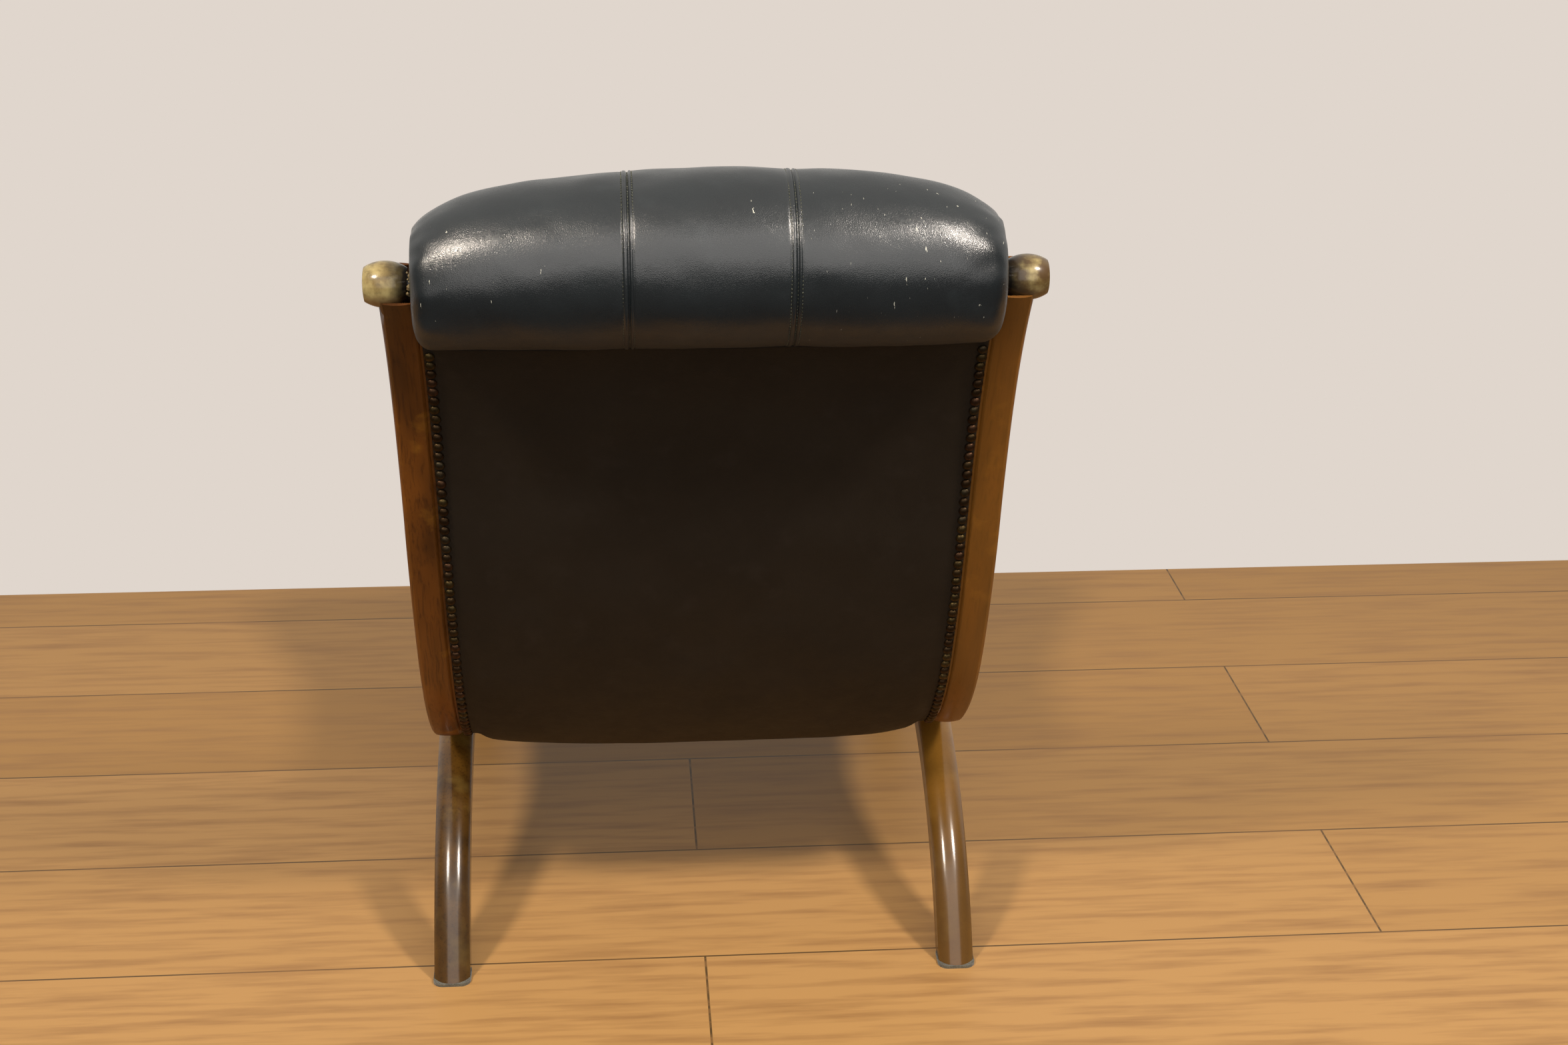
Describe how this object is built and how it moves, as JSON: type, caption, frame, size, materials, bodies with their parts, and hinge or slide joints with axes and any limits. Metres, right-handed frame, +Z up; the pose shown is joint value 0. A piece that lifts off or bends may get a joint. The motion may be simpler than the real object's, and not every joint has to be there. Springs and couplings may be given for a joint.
{
  "type": "slipper chair",
  "caption": "Low armless lounge chair with a scroll back and rolled seat front, leather nailed to curved wooden side rails over arched legs.",
  "frame": {"origin": "on the floor under the middle of the chair's bounding box", "axes": "+Z up, the chair faces -Y, +X is the sitter's left"},
  "size_m": [0.5652, 0.8109, 0.841],
  "materials": {
    "wood": "gloss",
    "leg_wood": "gloss",
    "knob_wood": "gloss",
    "beech": "matte",
    "felt": "matte",
    "jute": "matte",
    "foam": "matte",
    "cambric": "matte",
    "leather": "satin",
    "brass": "satin"
  },
  "bodies": {
    "root": {"back_post_left": "wood", "back_post_right": "wood", "seat_rail_left": "wood", "seat_rail_right": "wood", "rear_leg_left": "leg_wood", "rear_leg_right": "leg_wood", "front_leg_left": "leg_wood", "front_leg_right": "leg_wood", "back_knob_left": "knob_wood", "back_knob_right": "knob_wood", "front_knob_left": "knob_wood", "front_knob_right": "knob_wood", "boss_left": "wood", "boss_right": "wood", "stretcher": "wood", "crest_bar": "beech", "front_bar": "beech", "back_upper_board": "beech", "back_lower_board": "beech", "seat_rear_board": "beech", "seat_front_board": "beech", "corner_blocks": "beech", "board_dowels": "beech", "frame_dowels": "beech", "foot_pads": "felt", "back_webbing": "jute", "seat_webbing": "jute", "back_foam": "foam", "seat_foam": "foam", "top_roll_core": "foam", "front_roll_core": "foam", "top_roll": "leather", "front_roll": "leather", "inside_back": "leather", "seat": "leather", "outside_back": "leather", "front_apron": "leather", "bottom_cover": "cambric", "outside_nails": "brass", "inside_nails": "brass", "apron_nails": "brass"}
  },
  "joints": []
}
